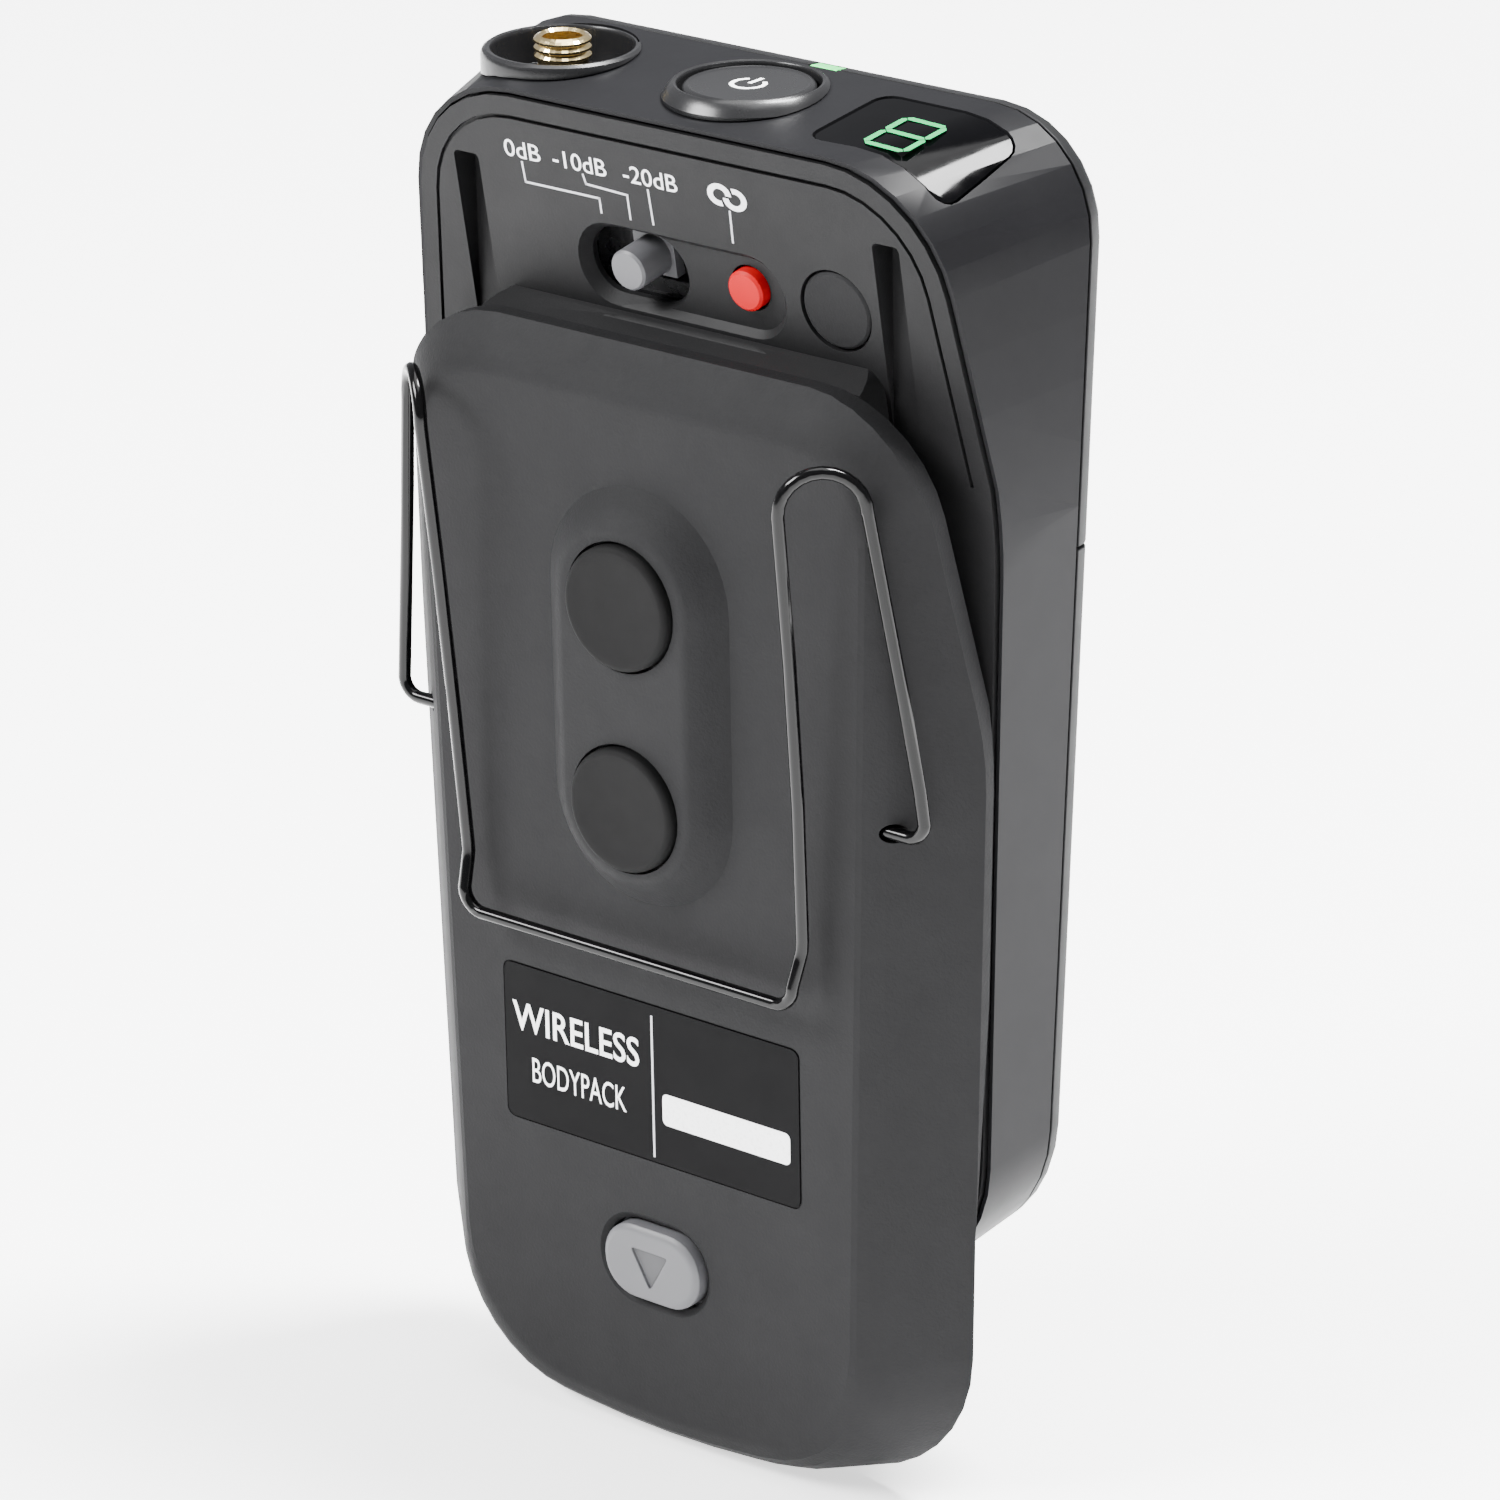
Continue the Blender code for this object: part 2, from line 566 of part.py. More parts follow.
def make_jack(frame, finishes):
    centre = (JACK_X, JACK_Y, 0)
    top = JACK_TOP
    profile = [(2.9, 98.9), (JACK_BARREL_R, 98.9), (JACK_BARREL_R, 97.6), (7.1, 97.6),
               (7.1, top - 0.55), (6.95, top - 0.2), (6.65, top), (6.3, top - 0.05),
               (6.1, top - 0.4), (5.95, 101.4), (2.9, 101.4)]
    boss = turned("jack_boss", profile, centre, frame, finishes["black_plastic"])
    cut(boss, flange_seat("boss_seat", centre, JACK_BARREL_R, frame))
    barrel = [(1.75, 94.6), (1.75, 105.2), (2.0, 105.45), (2.3, 105.3)]
    height = 105.3
    while height > 103.2:
        barrel += [(2.5, height - 0.2), (2.5, height - 0.4), (2.2, height - 0.55)]
        height -= 0.7
    barrel += [(2.2, 98.4), (4.2, 98.4), (4.2, 93.4), (0, 93.4), (0, 94.6)]
    turned("input_jack", barrel[::-1], centre, frame, finishes["gold"], sides=28)


def make_display(frame, finishes):
    window = body_solid("display_window", frame, 0.12, finishes["black_gloss"])
    cut(window, window_prism("window_span", 0.22, frame), "INTERSECT")
    cut(window, body_solid("window_inside", frame, 1.4))
    points = rectangle(13.6, 8.4, 23.2, 17.2, 0.6)
    prism("display_module", points, 98.2, 100.4, frame, finishes["black_gloss"], axis="z")


# ---------------------------------------------------------------- electronics and power

def make_boards(frame, finishes):
    board = box("main_board", (-26.5, BOARD_Y[0], 36.0), (26.5, BOARD_Y[1], 98.5), frame,
                finishes["board"], 1.5)
    cut(board, box("jack_clearance", (-24.5, 0.0, 92.5), (-12.5, 30.0, 100.0), frame))
    box("radio_shield", (-10.0, 15.6, 83.0), (10.0, 18.05, 94.5), frame, finishes["steel"], 0.8)
    box("top_board", (-12.0, 9.9, 96.4), (24.0, 17.6, 97.3), frame, finishes["board"], 1.0, axis="z")
    strip = [(13.0, 85.0), (14.5, 85.0), (14.5, 92.8), (24.0, 92.8), (24.0, 94.3), (13.0, 94.3)]
    prism("antenna_strip", strip, 16.8, 17.3, frame, finishes["brass"])


def make_cells(frame, finishes):
    for side, name in ((-1, "left"), (1, "right")):
        low, high = CELL_BOTTOM, CELL_BOTTOM + CELL_LENGTH
        body = [(0, low), (3.2, low), (3.2, low + 0.3), (CELL_R - 0.7, low + 0.3), (CELL_R, low + 0.9),
                (CELL_R, high - 2.2), (CELL_R - 0.7, high - 1.5), (2.8, high - 1.5), (2.7, high - 0.2),
                (2.4, high), (0, high)]
        if side > 0:
            body = [(r, low + high - h) for r, h in body[::-1]]
        turned("battery_" + name, body, (side * CELL_X, CELL_Y, 0), frame, finishes["cell"], sides=28)
        make_contacts(frame, finishes["steel"], side, name)


def make_contacts(frame, finish, side, name):
    """A pressed plate at the cell's positive end and a spring on a plate at its negative end."""
    x = side * CELL_X
    plate_z = BAY_Z[1] - 0.3 if side < 0 else BAY_Z[0] + 0.3
    spring_z = BAY_Z[0] + 0.3 if side < 0 else BAY_Z[1] - 0.3
    inward = -1 if side < 0 else 1
    cell_end = CELL_BOTTOM + CELL_LENGTH + GAP if side < 0 else CELL_BOTTOM - GAP
    low, high = sorted((plate_z, cell_end))
    plate_low = plate_z if inward > 0 else plate_z - 0.5
    tab = box("contact_plate_" + name, (x - 5.6, CELL_Y - 5.6, plate_low),
              (x + 5.6, CELL_Y + 5.6, plate_low + 0.5), frame, finish, 1.0, axis="z")
    bump = cylinder("contact_bump_" + name, 2.2, low, high, (x, CELL_Y, 0), frame, sides=24)
    cut(tab, bump, "UNION")
    end = CELL_BOTTOM - GAP if side < 0 else CELL_BOTTOM + CELL_LENGTH + GAP
    make_spring("contact_spring_" + name, (x, CELL_Y), spring_z, end, frame, finish)


def make_spring(name, centre, root, tip, frame, finish):
    """A conical compression spring from its plate at root to the cell at tip."""
    turns, per_turn, radius = 3.0, 14, 0.4
    direction = 1 if tip > root else -1
    start = root + direction * (radius + 0.05)
    reach = abs(tip - root) - 2 * radius - 0.05
    points = []
    for s in range(int(turns * per_turn) + 1):
        share = s / (turns * per_turn)
        angle = 2 * math.pi * turns * share
        spread = 4.6 - 1.6 * share
        points.append((centre[0] + spread * math.cos(angle), centre[1] + spread * math.sin(angle),
                       start + direction * reach * share))
    wire(name, points, radius, frame, finish, resolution=1)


def make_screws(frame, finish):
    for k, (x, z) in enumerate(SCREW_PLACES):
        head = [(0, 8.85), (1.8, 8.85), (2.05, 9.0), (2.05, 9.3), (1.05, 9.3), (1.05, 13.4), (0, 13.4)]
        screw = turned(f"case_screw_{k + 1}", head, (x, 0, z), frame, finish, axis="y", sides=16)
        cut(screw, box(f"drive_a_{k + 1}", (x - 1.1, 5.0, z - 0.25), (x + 1.1, 9.15, z + 0.25), frame))
        cut(screw, box(f"drive_b_{k + 1}", (x - 0.25, 5.0, z - 1.1), (x + 0.25, 9.15, z + 1.1), frame))


# ---------------------------------------------------------------- battery cover and its fittings

def cover_rings(inset=0.0):
    """Sections of the cover's outer skin: flat face, soft crease, bevel and an upright edge."""
    rings = []
    for y, half, drop in ((0.0, -0.75, 3.3), (0.18, -0.2, 2.6), (0.6, 0.42, 1.6), (1.5, 1.5, 0.8),
                          (3.0, 3.0, 0.25), (6.95, 6.95, 0.0), (12.0, 12.0, 0.0)):
        top = COVER_FACE_TOP + COVER_TOP_SLOPE * half - inset * 1.2
        r_bottom = min(12.5 + 0.4 * y, 14.5) - inset
        outline = tapered_outline(COVER_FACE_HALF + half - inset * 0.42, FACE_TAPER, FACE_REF_Z, top,
                                  drop + inset, 7.5 + 0.3 * y, r_bottom)
        rings.append([(p[0], y + inset, p[1]) for p in outline])
    return rings


def cover_solid(name, parent, inset=0.0, finish=None):
    points, faces = stitched(cover_rings(inset)[::-1])
    return add_mesh(name, points, faces, parent, finish)


def make_battery_cover(slide, finish):
    cover = cover_solid("battery_cover", slide, 0.0, finish)
    cut(cover, prism("cover_edge", parting_outline(0.0), -3.0, 20.0, slide), "INTERSECT")
    cut(cover, parting_cutter("cover_rear_trim", -0.3, "rear", slide))
    cut(cover, cover_edge_cutter(slide))
    hollow = cover_solid("cover_hollow", slide, COVER_WALL)
    cut(hollow, prism("hollow_edge", parting_outline(COVER_WALL), -3.0, 20.0, slide), "INTERSECT")
    cut(cover, hollow)
    for side, name in ((-1, "left"), (1, "right")):
        low, high = sorted((side * (GROOVE_X - 0.95), side * (GROOVE_X + 0.95)))
        rail = box("rail_" + name, (low, 0.9, 26.0), (high, 7.6, 94.0), slide, radius=0.6)
        cut(cover, rail, "UNION")
    cut(cover, raised_pad(slide), "UNION")
    for k, z in enumerate(DISC_ZS):
        cut(cover, cylinder(f"disc_recess_{k + 1}", DISC_R + 0.28, -8.0, -1.2, (0, 0, z), slide, axis="y"))
    cut(cover, box("label_recess", (-LABEL_SIZE[0] / 2 - 0.15, -3.0, LABEL_Z - LABEL_SIZE[1] / 2 - 0.15),
                   (LABEL_SIZE[0] / 2 + 0.15, 0.18, LABEL_Z + LABEL_SIZE[1] / 2 + 0.15), slide, radius=0.9))
    for name, room, depth, flare, low in (("dish", 0.2, 0.5, 0.7, -1.0), ("opening", 0.3, 4.0, 0.01, -3.0)):
        half = (RELEASE_HALF[0] + room, RELEASE_HALF[1] + room)
        cut(cover, tapered_slot("release_" + name, (0.0, RELEASE_Z), half, depth, flare, slide, low))
    for side, name in ((-1, "left"), (1, "right")):
        low, high = sorted((side * 21.5, side * 30.0))
        hole = cylinder("clip_hole_" + name, 0.88, low, high, (0, CLIP_AXIS_Y, CLIP_AXIS_Z), slide,
                        axis="x", sides=20)
        cut(cover, hole)
    return cover


def cover_edge_cutter(slide):
    """What is left off the cover's rear edge towards its lower end, where the edge is shallower."""
    low, high = COVER_EDGE_Z
    outline = [(COVER_EDGE_Y, -30.0), (30.0, -30.0), (30.0, high), (PART_DEEP_Y - 0.3, high),
               (COVER_EDGE_Y, low)]
    return prism("cover_edge_trim", outline, -50.0, 50.0, slide, axis="x")


def raised_pad(slide):
    rings = []
    for y, shrink in ((1.0, -1.0), (0.0, 0.0), (-PAD_RISE * 0.5, PAD_SLOPE_WIDTH * 0.48),
                      (-PAD_RISE * 0.92, PAD_SLOPE_WIDTH * 0.86), (-PAD_RISE, PAD_SLOPE_WIDTH * 1.15)):
        u, v = PAD_HALF[0] - shrink, PAD_HALF[1] - shrink
        outline = rounded([(-u, PAD_Z - v, u * 0.98), (u, PAD_Z - v, u * 0.98),
                           (u, PAD_Z + v, u * 0.98), (-u, PAD_Z + v, u * 0.98)], 9)
        rings.append([(p[0], y, p[1]) for p in outline])
    points, faces = stitched(rings)
    return add_mesh("raised_pad", points, faces, slide)


def make_cover_fittings(slide, finishes):
    face = DISC_FACE_Y
    for z, name in zip(DISC_ZS, ("upper", "lower")):
        disc = [(0, face), (DISC_R - 0.7, face), (DISC_R - 0.3, face + 0.12), (DISC_R, face + 0.45),
                (DISC_R, -1.5), (0, -1.5)]
        turned("grip_disc_" + name, disc, (0, 0, z), slide, finishes["rubber"], axis="y")
    half_w, half_h = LABEL_SIZE[0] / 2, LABEL_SIZE[1] / 2
    box("rating_label", (-half_w, -0.06, LABEL_Z - half_h), (half_w, 0.12, LABEL_Z + half_h), slide,
        finishes["label"], 0.8)
    make_release_button(slide, finishes)


def make_release_button(slide, finishes):
    rings = []
    for y, shrink in ((-0.85, 0.75), (-0.72, 0.3), (-0.4, 0.0), (1.9, 0.0), (1.9, -1.2), (2.7, -1.2)):
        u, v = RELEASE_HALF[0] - shrink, RELEASE_HALF[1] - shrink
        outline = rounded([(-u, RELEASE_Z - v, v * 0.97), (u, RELEASE_Z - v, v * 0.97),
                           (u, RELEASE_Z + v, v * 0.97), (-u, RELEASE_Z + v, v * 0.97)], 8)
        rings.append([(p[0], y, p[1]) for p in outline])
    points, faces = stitched(rings[::-1])
    button = add_mesh("release_button", points, faces, slide, finishes["grey_plastic"], (0, 0, RELEASE_Z))
    mark = [(-2.1, RELEASE_Z + 1.45, 0.15), (0.0, RELEASE_Z - 2.2, 0.15), (2.1, RELEASE_Z + 1.45, 0.15)]
    cut(button, prism("release_mark", rounded(mark, 2), -3.0, -0.5, slide))
    hook = box("release_latch", (-4.0, 3.0, RELEASE_Z - 7.5), (4.0, 4.0, RELEASE_Z + 1.6), slide,
               finishes["grey_plastic"], 0.5)
    nose = box("latch_nose", (-4.0, 3.5, RELEASE_Z - 7.5), (4.0, 6.6, RELEASE_Z - 5.9), slide, radius=0.3)
    cut(hook, nose, "UNION")
    leaf = [(1.75, RELEASE_Z + 9.0), (1.75, RELEASE_Z + 6.0), (5.2, RELEASE_Z + 4.2),
            (5.2, RELEASE_Z - 3.6), (5.6, RELEASE_Z - 3.6), (5.6, RELEASE_Z + 4.45),
            (2.15, RELEASE_Z + 6.2), (2.15, RELEASE_Z + 9.0)]
    prism("latch_spring", leaf, -1.8, 1.8, slide, finishes["steel"], axis="x")


# ---------------------------------------------------------------- belt clip

def arc_points(centre, start, end_turn, about, steps):
    """Points of an arc that turns start, a vector from centre, about an axis by end_turn radians."""
    return [tuple(Vector(centre) + Quaternion(about, end_turn * s / steps) @ Vector(start))
            for s in range(steps + 1)]


def clip_half_path():
    """The right half of the wire, from its hook end to the middle of the bottom bar."""
    axis_z = CLIP_AXIS_Z
    hook = [(23.4, CLIP_AXIS_Y, axis_z), (25.3, CLIP_AXIS_Y, axis_z), (27.2, CLIP_AXIS_Y, axis_z)]
    bend = arc_points((27.2, CLIP_AXIS_Y, axis_z + 1.75), (0, 0, -1.75), -math.radians(84), (0, 1, 0), 6)
    leg = [(28.6, 1.75, axis_z + 4.6), (27.5, 1.15, axis_z + 12.6), (26.35, 0.4, axis_z + 20.6)]
    low, high = Vector((25.2, -0.45, axis_z + 28.9)), Vector((19.5, -5.2, axis_z + 28.9))
    centre = (low + high) / 2
    across = (high - low).normalized()
    about = across.cross(Vector((0, 0, 1)))
    arch = arc_points(centre, low - centre, -math.pi, about, 12)
    front = [(19.35, -3.75, axis_z + 15.5), (19.1, -2.6, axis_z + 2.2), (18.75, -1.85, axis_z - 10.2)]
    kink = [(18.68, -1.85, axis_z - 11.2), (18.6, -2.1, axis_z - 12.1)]
    corner_r = 2.0
    corner = arc_points((18.4 - corner_r, -2.85, axis_z - 16.3 + corner_r), (corner_r, 0, 0),
                        math.radians(90), (0, 1, 0), 6)
    return hook[:-1] + bend + leg + arch + front + kink + corner


def make_belt_clip(slide, finish):
    right = clip_half_path()
    left = [(-x, y, z) for x, y, z in reversed(right)]
    bar_low, bar_high = right[-1], left[0]
    bar = [tuple(Vector(bar_low).lerp(Vector(bar_high), s / 8)) for s in range(1, 8)]
    wire("belt_clip", right + bar + left, WIRE_R, slide, finish, (0, CLIP_AXIS_Y, CLIP_AXIS_Z), 4)


def make_finishes():
    return {
        "satin_plastic": material("satin_plastic", (0.075, 0.075, 0.08), 0.38),
        "chassis_plastic": material("chassis_plastic", (0.04, 0.04, 0.043), 0.55),
        "cover_plastic": material("cover_plastic", (0.055, 0.055, 0.058), 0.6),
        "black_plastic": material("black_plastic", (0.03, 0.03, 0.033), 0.35),
        "front_plastic": material("front_plastic", (0.04, 0.04, 0.043), 0.45),
        "grey_plastic": material("grey_plastic", (0.22, 0.22, 0.235), 0.45),
        "red_plastic": material("red_plastic", (0.75, 0.03, 0.035), 0.35),
        "black_gloss": material("black_gloss", (0.004, 0.004, 0.005), 0.08),
        "light_plastic": material("light_plastic", (0.05, 0.55, 0.15), 0.25),
        "rubber": material("rubber", (0.022, 0.022, 0.023), 0.75),
        "label": material("label", (0.02, 0.02, 0.022), 0.4),
        "wire_black": material("wire_black", (0.02, 0.02, 0.022), 0.2, 0.6),
        "gold": material("gold", (0.85, 0.65, 0.3), 0.2, 1.0),
        "steel": material("steel", (0.6, 0.6, 0.62), 0.3, 1.0),
        "brass": material("brass", (0.7, 0.5, 0.2), 0.3, 1.0),
        "board": material("board", (0.02, 0.12, 0.05), 0.5),
        "cell": material("cell", (0.05, 0.05, 0.06), 0.3, 0.4),
    }


def main():
    clear_scene()
    finishes = make_finishes()
    frame = empty("design_frame", (0, -FRAME_Y, OPEN))
    slide = empty("cover_slide", (0, 0, -OPEN), frame)
    panel = empty("panel_frame", (0, parting_y(PANEL_Z), PANEL_Z), frame, PANEL_TILT)
    make_side_sleeve(frame, finishes["satin_plastic"])
    make_front_panels(frame, finishes["front_plastic"], finishes["front_plastic"])
    make_status_light(frame, finishes["light_plastic"])
    make_rear_chassis(frame, panel, finishes["chassis_plastic"])
    make_controls(frame, panel, finishes)
    make_power_button(frame, finishes)
    make_jack(frame, finishes)
    make_display(frame, finishes)
    make_boards(frame, finishes)
    make_cells(frame, finishes)
    make_screws(frame, finishes["steel"])
    make_battery_cover(slide, finishes["cover_plastic"])
    make_cover_fittings(slide, finishes)
    make_belt_clip(slide, finishes["wire_black"])


main()
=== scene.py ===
"""Looks of the wireless bodypack transmitter: finer shells, printed marks, finishes, light and camera."""

import json
import math

import bmesh
import bpy
from mathutils import Matrix, Vector

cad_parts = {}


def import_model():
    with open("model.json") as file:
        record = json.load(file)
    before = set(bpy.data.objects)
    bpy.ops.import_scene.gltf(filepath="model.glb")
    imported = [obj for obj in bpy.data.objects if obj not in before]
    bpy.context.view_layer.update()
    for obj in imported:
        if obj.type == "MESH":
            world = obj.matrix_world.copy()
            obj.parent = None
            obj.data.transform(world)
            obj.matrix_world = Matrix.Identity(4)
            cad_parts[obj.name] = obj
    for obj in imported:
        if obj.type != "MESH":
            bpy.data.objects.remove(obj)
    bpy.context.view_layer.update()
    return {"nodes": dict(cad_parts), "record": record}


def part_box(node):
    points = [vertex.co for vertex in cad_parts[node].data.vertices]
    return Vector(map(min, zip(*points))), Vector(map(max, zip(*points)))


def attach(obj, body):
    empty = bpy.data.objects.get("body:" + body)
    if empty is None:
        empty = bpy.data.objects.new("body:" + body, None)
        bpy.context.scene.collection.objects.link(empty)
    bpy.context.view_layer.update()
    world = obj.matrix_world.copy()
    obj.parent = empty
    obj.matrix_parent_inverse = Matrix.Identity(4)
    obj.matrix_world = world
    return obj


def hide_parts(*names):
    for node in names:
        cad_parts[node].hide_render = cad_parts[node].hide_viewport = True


MM = 0.001

# Where the sloping control panel lies: its middle, in millimetres, and its lean about X
PANEL_MIDDLE = (0.0, -2.158, 107.7)
PANEL_TILT = math.atan(0.165)

# The lit figure: its middle in millimetres, how it leans to follow the window, and its size
DIGIT_MIDDLE = (20.0, 3.0, 122.2)
DIGIT_LEAN_ACROSS = -0.04
DIGIT_LEAN_UP = 0.107
DIGIT_HALF_WIDTH = 2.05
DIGIT_HALF_HEIGHT = 2.9
DIGIT_GAP = 0.06
SEGMENT_WIDTH = 0.62

# Shading of the shells, in degrees: sharper edges than these are kept sharp, or get a small bevel
SMOOTH_UP_TO = 33.0
BEVEL_FROM = 37.0

# The cover's crease between face and bevels is kept sharp, except around the pad and the key
CREASE_FROM = 14.5
SOFT_HALF_WIDTH = 18.0
SOFT_Z = (12.0, 95.0)

DISC_RIM_RADIUS = 0.55
DISC_DISH = 0.1
PRINT_DEPTH = 0.02
MARK_DEPTH = 0.32
KEY_DISH_DEPTH = 0.135

# The camera stands to the right of the battery cover and looks down at it
CAMERA_PLACE = (0.350739, -0.421737, 0.282042)
CAMERA_TURN = (68.3198, 0.9627, 38.9783)
CAMERA_LENS = 163.583
AIM = Vector((0.0, 0.0, 0.062))

BODY = "transmitter_body"
COVER = "cover"


# ---------------------------------------------------------------- node material helpers

class Shade:
    """Adds nodes to one material and keeps the Principled shader at hand."""

    def __init__(self, name, roughness, metallic=0.0, **sockets):
        self.material = bpy.data.materials.new(name)
        self.material.use_nodes = True
        self.tree = self.material.node_tree
        self.shader = self.tree.nodes["Principled BSDF"]
        self.shader.inputs["Roughness"].default_value = roughness
        self.shader.inputs["Metallic"].default_value = metallic
        for socket, value in sockets.items():
            self.shader.inputs[socket.replace("_", " ")].default_value = value
        self.place = self.tree.nodes.new("ShaderNodeTexCoord").outputs["Object"]

    def node(self, kind, **inputs):
        made = self.tree.nodes.new(kind)
        for socket, value in inputs.items():
            made.inputs[socket.replace("_", " ")].default_value = value
        return made

    def link(self, output, target):
        self.tree.links.new(output, target)

    def noise(self, size_mm, detail=2.0, stretch=(1, 1, 1)):
        """Noise whose features are about size_mm across; stretch squeezes it along an axis."""
        mapping = self.node("ShaderNodeMapping")
        mapping.inputs["Scale"].default_value = stretch
        self.link(self.place, mapping.inputs["Vector"])
        made = self.node("ShaderNodeTexNoise", Scale=1.0 / (size_mm * MM), Detail=detail)
        self.link(mapping.outputs["Vector"], made.inputs["Vector"])
        return made.outputs["Fac"]

    def spread(self, factor, low, high):
        """A value from low to high as the factor goes over the middle of the noise's range."""
        made = self.node("ShaderNodeMapRange")
        made.inputs["From Min"].default_value = 0.3
        made.inputs["From Max"].default_value = 0.7
        made.inputs["To Min"].default_value = low
        made.inputs["To Max"].default_value = high
        self.link(factor, made.inputs["Value"])
        return made.outputs["Result"]

    def tones(self, factor, colours):
        """The base colour runs evenly through these colours as the factor rises."""
        ramp = self.tree.nodes.new("ShaderNodeValToRGB")
        stops = ramp.color_ramp.elements
        for k, colour in enumerate(colours):
            position = 0.3 + 0.4 * k / (len(colours) - 1)
            stop = stops[k] if k < 2 else stops.new(position)
            stop.position = position
            stop.color = (*colour, 1.0)
        self.link(factor, ramp.inputs["Fac"])
        self.link(ramp.outputs["Color"], self.shader.inputs["Base Color"])

    def bump(self, factor, strength, height_mm):
        made = self.node("ShaderNodeBump", Strength=strength, Distance=height_mm * MM)
        self.link(factor, made.inputs["Height"])
        last = self.shader.inputs["Normal"]
        if last.is_linked:
            self.link(last.links[0].from_socket, made.inputs["Normal"])
        self.link(made.outputs["Normal"], last)


def shade_of(colour, share):
    return tuple(c * share for c in colour)


def moulded(name, colour, roughness, grain_mm, grain, height_mm, specular=0.3):
    """Moulded plastic: fine spark-eroded grain, faint flow marks and a little handling wear."""
    shade = Shade(name, roughness, Specular_IOR_Level=specular)
    flow = shade.noise(9.0, 3.0, (1.0, 1.0, 0.35))
    shade.tones(flow, (shade_of(colour, 0.94), colour, shade_of(colour, 1.06)))
    touched = shade.noise(3.5, 4.0)
    worn = shade.spread(touched, roughness - 0.02, roughness + 0.03)
    shade.link(worn, shade.shader.inputs["Roughness"])
    shade.bump(shade.noise(grain_mm, 2.0), grain, height_mm)
    return shade.material


def rubbery(name, colour):
    shade = Shade(name, 0.7, Specular_IOR_Level=0.1)
    shade.tones(shade.noise(2.0, 4.0), (shade_of(colour, 0.88), colour, shade_of(colour, 1.15)))
    shade.bump(shade.noise(0.12, 3.0), 0.4, 0.02)
    return shade.material


def metallic(name, colour, roughness, stretch=(1, 1, 8)):
    """Bright metal with fine drawn or turned lines."""
    shade = Shade(name, roughness, 1.0)
    lines = shade.noise(0.5, 3.0, stretch)
    shade.tones(lines, (shade_of(colour, 0.9), colour, shade_of(colour, 1.06)))
    shade.link(shade.spread(lines, roughness * 0.75, roughness * 1.3), shade.shader.inputs["Roughness"])
    shade.bump(lines, 0.15, 0.01)
    return shade.material


def lacquered_wire(name):
    """Spring wire under a glossy black coat that has thinned here and there."""
    shade = Shade(name, 0.15, Specular_IOR_Level=0.2)
    colour = (0.001, 0.001, 0.0011)
    shade.tones(shade.noise(1.2, 4.0), (shade_of(colour, 0.8), colour, shade_of(colour, 1.3)))
    shade.link(shade.spread(shade.noise(2.5, 3.0), 0.1, 0.17), shade.shader.inputs["Roughness"])
    shade.bump(shade.noise(0.5, 2.0, (1, 1, 0.3)), 0.15, 0.01)
    return shade.material


def glossy(name, colour):
    """Polished tinted plastic with a breath of dust on it."""
    shade = Shade(name, 0.06, Specular_IOR_Level=0.08)
    shade.tones(shade.noise(4.0, 3.0), (shade_of(colour, 0.8), colour, shade_of(colour, 1.2)))
    shade.link(shade.spread(shade.noise(1.5, 5.0), 0.05, 0.1), shade.shader.inputs["Roughness"])
    return shade.material


def printed(name, colour):
    """Screen-printed ink, a little uneven where it is thin."""
    shade = Shade(name, 0.5)
    shade.tones(shade.noise(0.35, 3.0), (shade_of(colour, 0.86), colour, colour))
    shade.bump(shade.noise(0.1, 2.0), 0.3, 0.008)
    return shade.material


def glowing(name, colour, strength):
    """A lit green light guide, brighter in the middle of its own grain."""
    shade = Shade(name, 0.3, Coat_Weight=0.5)
    shade.tones(shade.noise(0.8, 2.0), (shade_of(colour, 0.8), colour, colour))
    shade.shader.inputs["Emission Color"].default_value = (*colour, 1.0)
    shade.link(shade.spread(shade.noise(1.0, 2.0), strength * 0.8, strength),
               shade.shader.inputs["Emission Strength"])
    return shade.material


def laminate(name):
    """Circuit board: green mask over a faint weave."""
    shade = Shade(name, 0.42, Coat_Weight=0.4)
    weave = shade.noise(0.6, 1.0, (1, 1, 3))
    shade.tones(weave, ((0.008, 0.07, 0.03), (0.012, 0.11, 0.045), (0.02, 0.15, 0.06)))
    shade.bump(weave, 0.2, 0.01)
    return shade.material


